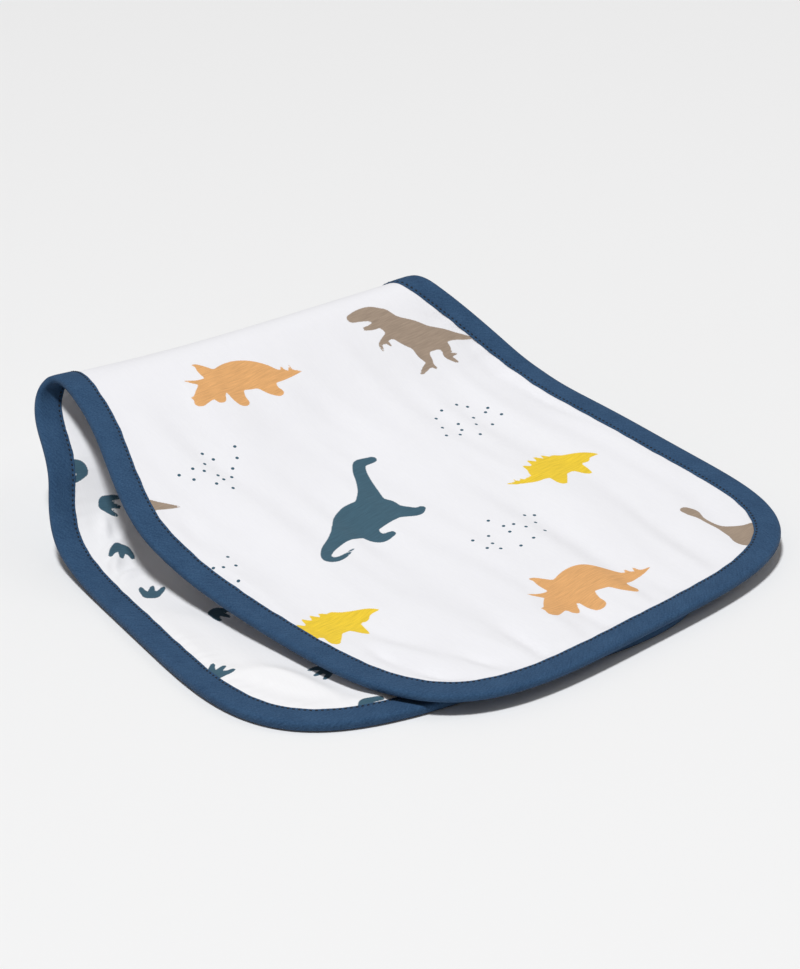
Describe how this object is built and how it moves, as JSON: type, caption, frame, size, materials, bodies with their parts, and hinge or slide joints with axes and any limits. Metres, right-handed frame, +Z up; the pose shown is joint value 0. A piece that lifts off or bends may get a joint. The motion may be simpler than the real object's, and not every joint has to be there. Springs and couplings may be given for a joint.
{
  "type": "burp cloth",
  "caption": "Contoured burp cloth of light printed cotton with a navy bias binding, folded over at its middle.",
  "frame": {"origin": "middle of the bounding box, on the surface that the cloth lies on", "axes": "+X along the upper half from the fold to its free end, +Z up, -Y towards the side where the fold stands highest and the lower half shows"},
  "size_m": [0.2918, 0.2846, 0.0658],
  "materials": {
    "printed_cotton": "matt plain weave, light cotton with a printed pattern",
    "lining_cotton": "matt plain weave, light cotton with a sparse print",
    "binding_cotton": "matt navy cotton bias strip"
  },
  "bodies": {
    "root": {"face_panel": "printed_cotton", "lining_panel": "lining_cotton", "binding": "binding_cotton"}
  },
  "joints": []
}
